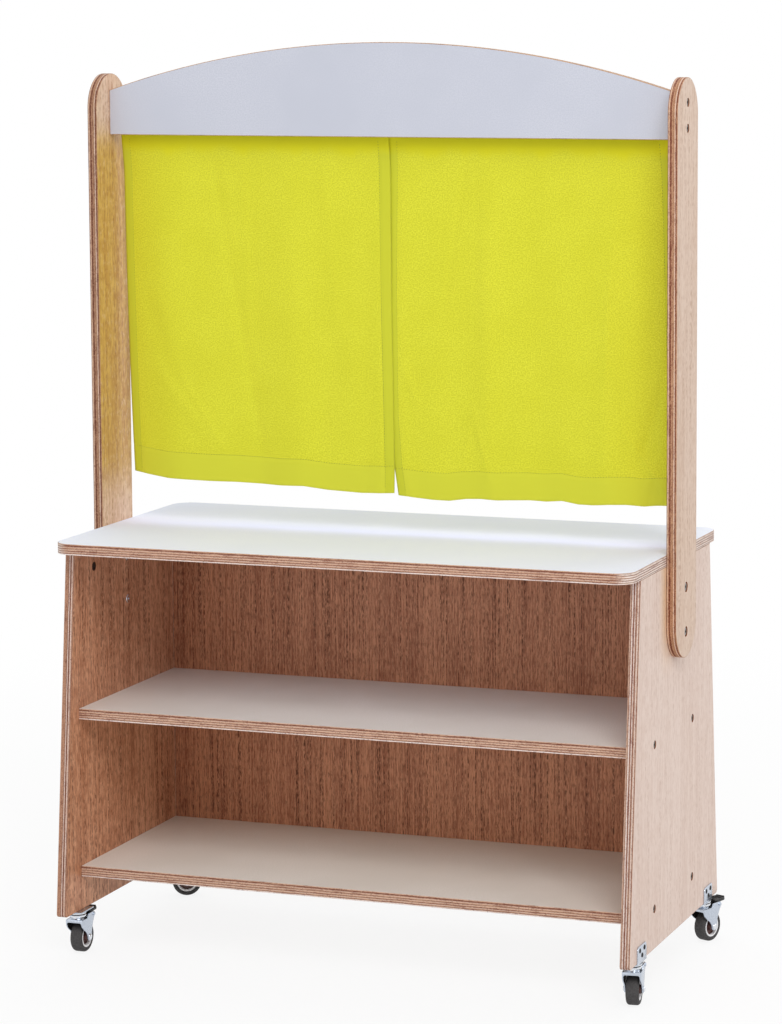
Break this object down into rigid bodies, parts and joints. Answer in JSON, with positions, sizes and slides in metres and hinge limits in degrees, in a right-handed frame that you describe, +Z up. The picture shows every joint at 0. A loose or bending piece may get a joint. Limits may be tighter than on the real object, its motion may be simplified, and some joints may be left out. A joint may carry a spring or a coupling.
{
  "type": "puppet theater stand",
  "caption": "Rolling plywood shelf stand for puppet plays: a worktop over open shelves, tall rounded posts, an arched header board with sliding curtains, and swivel casters with brakes.",
  "frame": {"origin": "on the floor, below the middle of the unit", "axes": "+Z up, +X to the right and +Y to the back, seen from the front, where the header and the shelves' open side are"},
  "size_m": [1, 0.4988, 1.478],
  "materials": {
    "plywood": "clear lacquered plywood",
    "laminate": "plywood with white laminate on both faces",
    "painted_board": "plywood with pale lilac-grey faces",
    "cloth": "woven yellow-green cloth",
    "steel": "satin",
    "zinc": "bright zinc",
    "rubber": "matte",
    "pale_plastic": "satin",
    "black_plastic": "satin"
  },
  "bodies": {
    "stand": {"left_side_panel": "plywood", "right_side_panel": "plywood", "worktop": "laminate", "middle_shelf": "laminate", "lower_shelf": "laminate", "back_panel": "plywood", "left_post": "plywood", "right_post": "plywood", "header_board": "painted_board", "curtain_rod": "steel", "left_header_screw_lower": "steel", "left_header_screw_upper": "steel", "left_post_bolt_lower": "steel", "left_post_nut_lower": "steel", "left_post_bolt_upper": "steel", "left_post_nut_upper": "steel", "left_lower_shelf_screw_front": "steel", "left_lower_shelf_screw_back": "steel", "left_middle_shelf_screw_front": "steel", "left_middle_shelf_screw_back": "steel", "left_cam_lock_front": "zinc", "left_cam_lock_back": "zinc", "right_header_screw_lower": "steel", "right_header_screw_upper": "steel", "right_post_bolt_lower": "steel", "right_post_nut_lower": "steel", "right_post_bolt_upper": "steel", "right_post_nut_upper": "steel", "right_lower_shelf_screw_front": "steel", "right_lower_shelf_screw_back": "steel", "right_middle_shelf_screw_front": "steel", "right_middle_shelf_screw_back": "steel", "right_cam_lock_front": "zinc", "right_cam_lock_back": "zinc", "front_left_caster_bracket": "zinc", "front_right_caster_bracket": "zinc", "back_left_caster_bracket": "zinc", "back_right_caster_bracket": "zinc"},
    "front_left_swivel": {"front_left_caster_fork": "steel", "front_left_caster_axle": "steel"},
    "front_left_wheel": {"front_left_caster_hub": "pale_plastic", "front_left_caster_tyre": "rubber"},
    "front_left_pedal": {"front_left_caster_pedal": "black_plastic"},
    "front_right_swivel": {"front_right_caster_fork": "steel", "front_right_caster_axle": "steel"},
    "front_right_wheel": {"front_right_caster_hub": "pale_plastic", "front_right_caster_tyre": "rubber"},
    "front_right_pedal": {"front_right_caster_pedal": "black_plastic"},
    "back_left_swivel": {"back_left_caster_fork": "steel", "back_left_caster_axle": "steel"},
    "back_left_wheel": {"back_left_caster_hub": "pale_plastic", "back_left_caster_tyre": "rubber"},
    "back_left_pedal": {"back_left_caster_pedal": "black_plastic"},
    "back_right_swivel": {"back_right_caster_fork": "steel", "back_right_caster_axle": "steel"},
    "back_right_wheel": {"back_right_caster_hub": "pale_plastic", "back_right_caster_tyre": "rubber"},
    "back_right_pedal": {"back_right_caster_pedal": "black_plastic"},
    "left_curtain": {"left_curtain": "cloth"},
    "right_curtain": {"right_curtain": "cloth"}
  },
  "joints": [
    {"name": "front_left_swivel_turn", "type": "hinge", "parent": "stand", "child": "front_left_swivel", "pos_m": [-0.473, -0.196, 0.062], "axis": [0, 0, 1], "continuous": true},
    {"name": "front_left_wheel_spin", "type": "hinge", "parent": "front_left_swivel", "child": "front_left_wheel", "pos_m": [-0.473, -0.181, 0.025], "axis": [1, 0, 0], "continuous": true},
    {"name": "front_left_pedal_press", "type": "hinge", "parent": "front_left_swivel", "child": "front_left_pedal", "pos_m": [-0.473, -0.166, 0.06], "axis": [-1, 0, 0], "range_deg": [0, 14]},
    {"name": "front_right_swivel_turn", "type": "hinge", "parent": "stand", "child": "front_right_swivel", "pos_m": [0.473, -0.196, 0.062], "axis": [0, 0, 1], "continuous": true},
    {"name": "front_right_wheel_spin", "type": "hinge", "parent": "front_right_swivel", "child": "front_right_wheel", "pos_m": [0.47091, -0.18115, 0.025], "axis": [0.9903, 0.1392, 0], "continuous": true},
    {"name": "front_right_pedal_press", "type": "hinge", "parent": "front_right_swivel", "child": "front_right_pedal", "pos_m": [0.46882, -0.16629, 0.06], "axis": [-0.9903, -0.1392, 0], "range_deg": [0, 14]},
    {"name": "back_left_swivel_turn", "type": "hinge", "parent": "stand", "child": "back_left_swivel", "pos_m": [-0.473, 0.196, 0.062], "axis": [0, 0, 1], "continuous": true},
    {"name": "back_left_wheel_spin", "type": "hinge", "parent": "back_left_swivel", "child": "back_left_wheel", "pos_m": [-0.45941, 0.20234, 0.025], "axis": [0.4226, -0.9063, 0], "continuous": true},
    {"name": "back_left_pedal_press", "type": "hinge", "parent": "back_left_swivel", "child": "back_left_pedal", "pos_m": [-0.44581, 0.20868, 0.06], "axis": [-0.4226, 0.9063, 0], "range_deg": [0, 14]},
    {"name": "back_right_swivel_turn", "type": "hinge", "parent": "stand", "child": "back_right_swivel", "pos_m": [0.473, 0.196, 0.062], "axis": [0, 0, 1], "continuous": true},
    {"name": "back_right_wheel_spin", "type": "hinge", "parent": "back_right_swivel", "child": "back_right_wheel", "pos_m": [0.47813, 0.2101, 0.025], "axis": [0.9397, -0.342, 0], "continuous": true},
    {"name": "back_right_pedal_press", "type": "hinge", "parent": "back_right_swivel", "child": "back_right_pedal", "pos_m": [0.48326, 0.22419, 0.06], "axis": [-0.9397, 0.342, 0], "range_deg": [0, 14]},
    {"name": "left_curtain_slide", "type": "slide", "parent": "stand", "child": "left_curtain", "axis": [-1, 0, 0], "range_m": [0, 0.33], "deforming": ["left_curtain"]},
    {"name": "right_curtain_slide", "type": "slide", "parent": "stand", "child": "right_curtain", "axis": [1, 0, 0], "range_m": [0, 0.33], "deforming": ["right_curtain"]}
  ]
}
